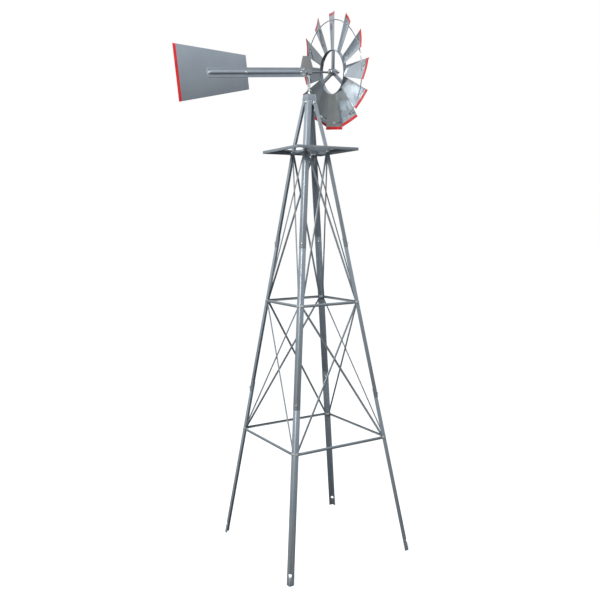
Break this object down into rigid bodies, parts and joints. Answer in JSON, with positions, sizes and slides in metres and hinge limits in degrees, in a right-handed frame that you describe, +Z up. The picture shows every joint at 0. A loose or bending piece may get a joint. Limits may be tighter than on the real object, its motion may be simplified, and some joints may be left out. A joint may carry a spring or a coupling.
{
  "type": "garden windmill",
  "caption": "Ornamental galvanised garden windmill: braced four-legged lattice tower, square platform, head with a tail vane that turns to the wind, and a red-tipped bladed wheel.",
  "frame": {"origin": "on the ground under the middle of the whole outline; the tower's own axis stands 0.160 m forward of it, at +X", "axes": "+Z up, +X the way the wheel faces at rest (the tail points to -X), +Y to the left of that"},
  "size_m": [0.9582, 0.6384, 2.4427],
  "materials": {
    "frame_zinc": "galvanised, satin with soft spangle",
    "brace_zinc": "galvanised, satin",
    "deck_zinc": "galvanised, satin",
    "blade_sheet": "smooth galvanised sheet, glossy, with a red painted tip",
    "vane_sheet": "smooth galvanised sheet with a red painted end strip",
    "bar_steel": "galvanised, satin",
    "bright_zinc": "bright zinc plate",
    "red_paint": "gloss red paint"
  },
  "bodies": {
    "tower": {"lower_leg_front_left": "frame_zinc", "middle_leg_front_left": "frame_zinc", "upper_leg_front_left": "frame_zinc", "lower_leg_rear_left": "frame_zinc", "middle_leg_rear_left": "frame_zinc", "upper_leg_rear_left": "frame_zinc", "lower_leg_rear_right": "frame_zinc", "middle_leg_rear_right": "frame_zinc", "upper_leg_rear_right": "frame_zinc", "lower_leg_front_right": "frame_zinc", "middle_leg_front_right": "frame_zinc", "upper_leg_front_right": "frame_zinc", "lower_ring_front": "brace_zinc", "middle_ring_front": "brace_zinc", "lower_ring_left": "brace_zinc", "middle_ring_left": "brace_zinc", "lower_ring_rear": "brace_zinc", "middle_ring_rear": "brace_zinc", "lower_ring_right": "brace_zinc", "middle_ring_right": "brace_zinc", "lower_brace_outer_front": "brace_zinc", "lower_brace_inner_front": "brace_zinc", "upper_brace_outer_front": "brace_zinc", "upper_brace_inner_front": "brace_zinc", "lower_brace_outer_left": "brace_zinc", "lower_brace_inner_left": "brace_zinc", "upper_brace_outer_left": "brace_zinc", "upper_brace_inner_left": "brace_zinc", "lower_brace_outer_rear": "brace_zinc", "lower_brace_inner_rear": "brace_zinc", "upper_brace_outer_rear": "brace_zinc", "upper_brace_inner_rear": "brace_zinc", "lower_brace_outer_right": "brace_zinc", "lower_brace_inner_right": "brace_zinc", "upper_brace_outer_right": "brace_zinc", "upper_brace_inner_right": "brace_zinc", "platform": "deck_zinc", "tower_cap": "frame_zinc", "swivel_bush": "bright_zinc", "thrust_washer": "bright_zinc"},
    "head": {"head_bracket": "bar_steel", "boom_left": "bar_steel", "boom_right": "bar_steel", "tail_vane": "vane_sheet", "axle": "bright_zinc"},
    "wheel": {"wheel_spider": "bar_steel", "hub_washer": "bright_zinc", "wire_ring": "bright_zinc", "blade_01": "blade_sheet", "blade_02": "blade_sheet", "blade_03": "blade_sheet", "blade_04": "blade_sheet", "blade_05": "blade_sheet", "blade_06": "blade_sheet", "blade_07": "blade_sheet", "blade_08": "blade_sheet", "blade_09": "blade_sheet", "blade_10": "blade_sheet", "blade_11": "blade_sheet", "blade_12": "blade_sheet"}
  },
  "joints": [
    {"name": "head_yaw", "type": "hinge", "parent": "tower", "child": "head", "pos_m": [0.15993, 0, 2.094], "axis": [0, 0, 1], "continuous": true},
    {"name": "wheel_spin", "type": "hinge", "parent": "head", "child": "wheel", "pos_m": [0.28655, 0, 2.18515], "axis": [0.9954, 0, 0.0955], "continuous": true}
  ]
}
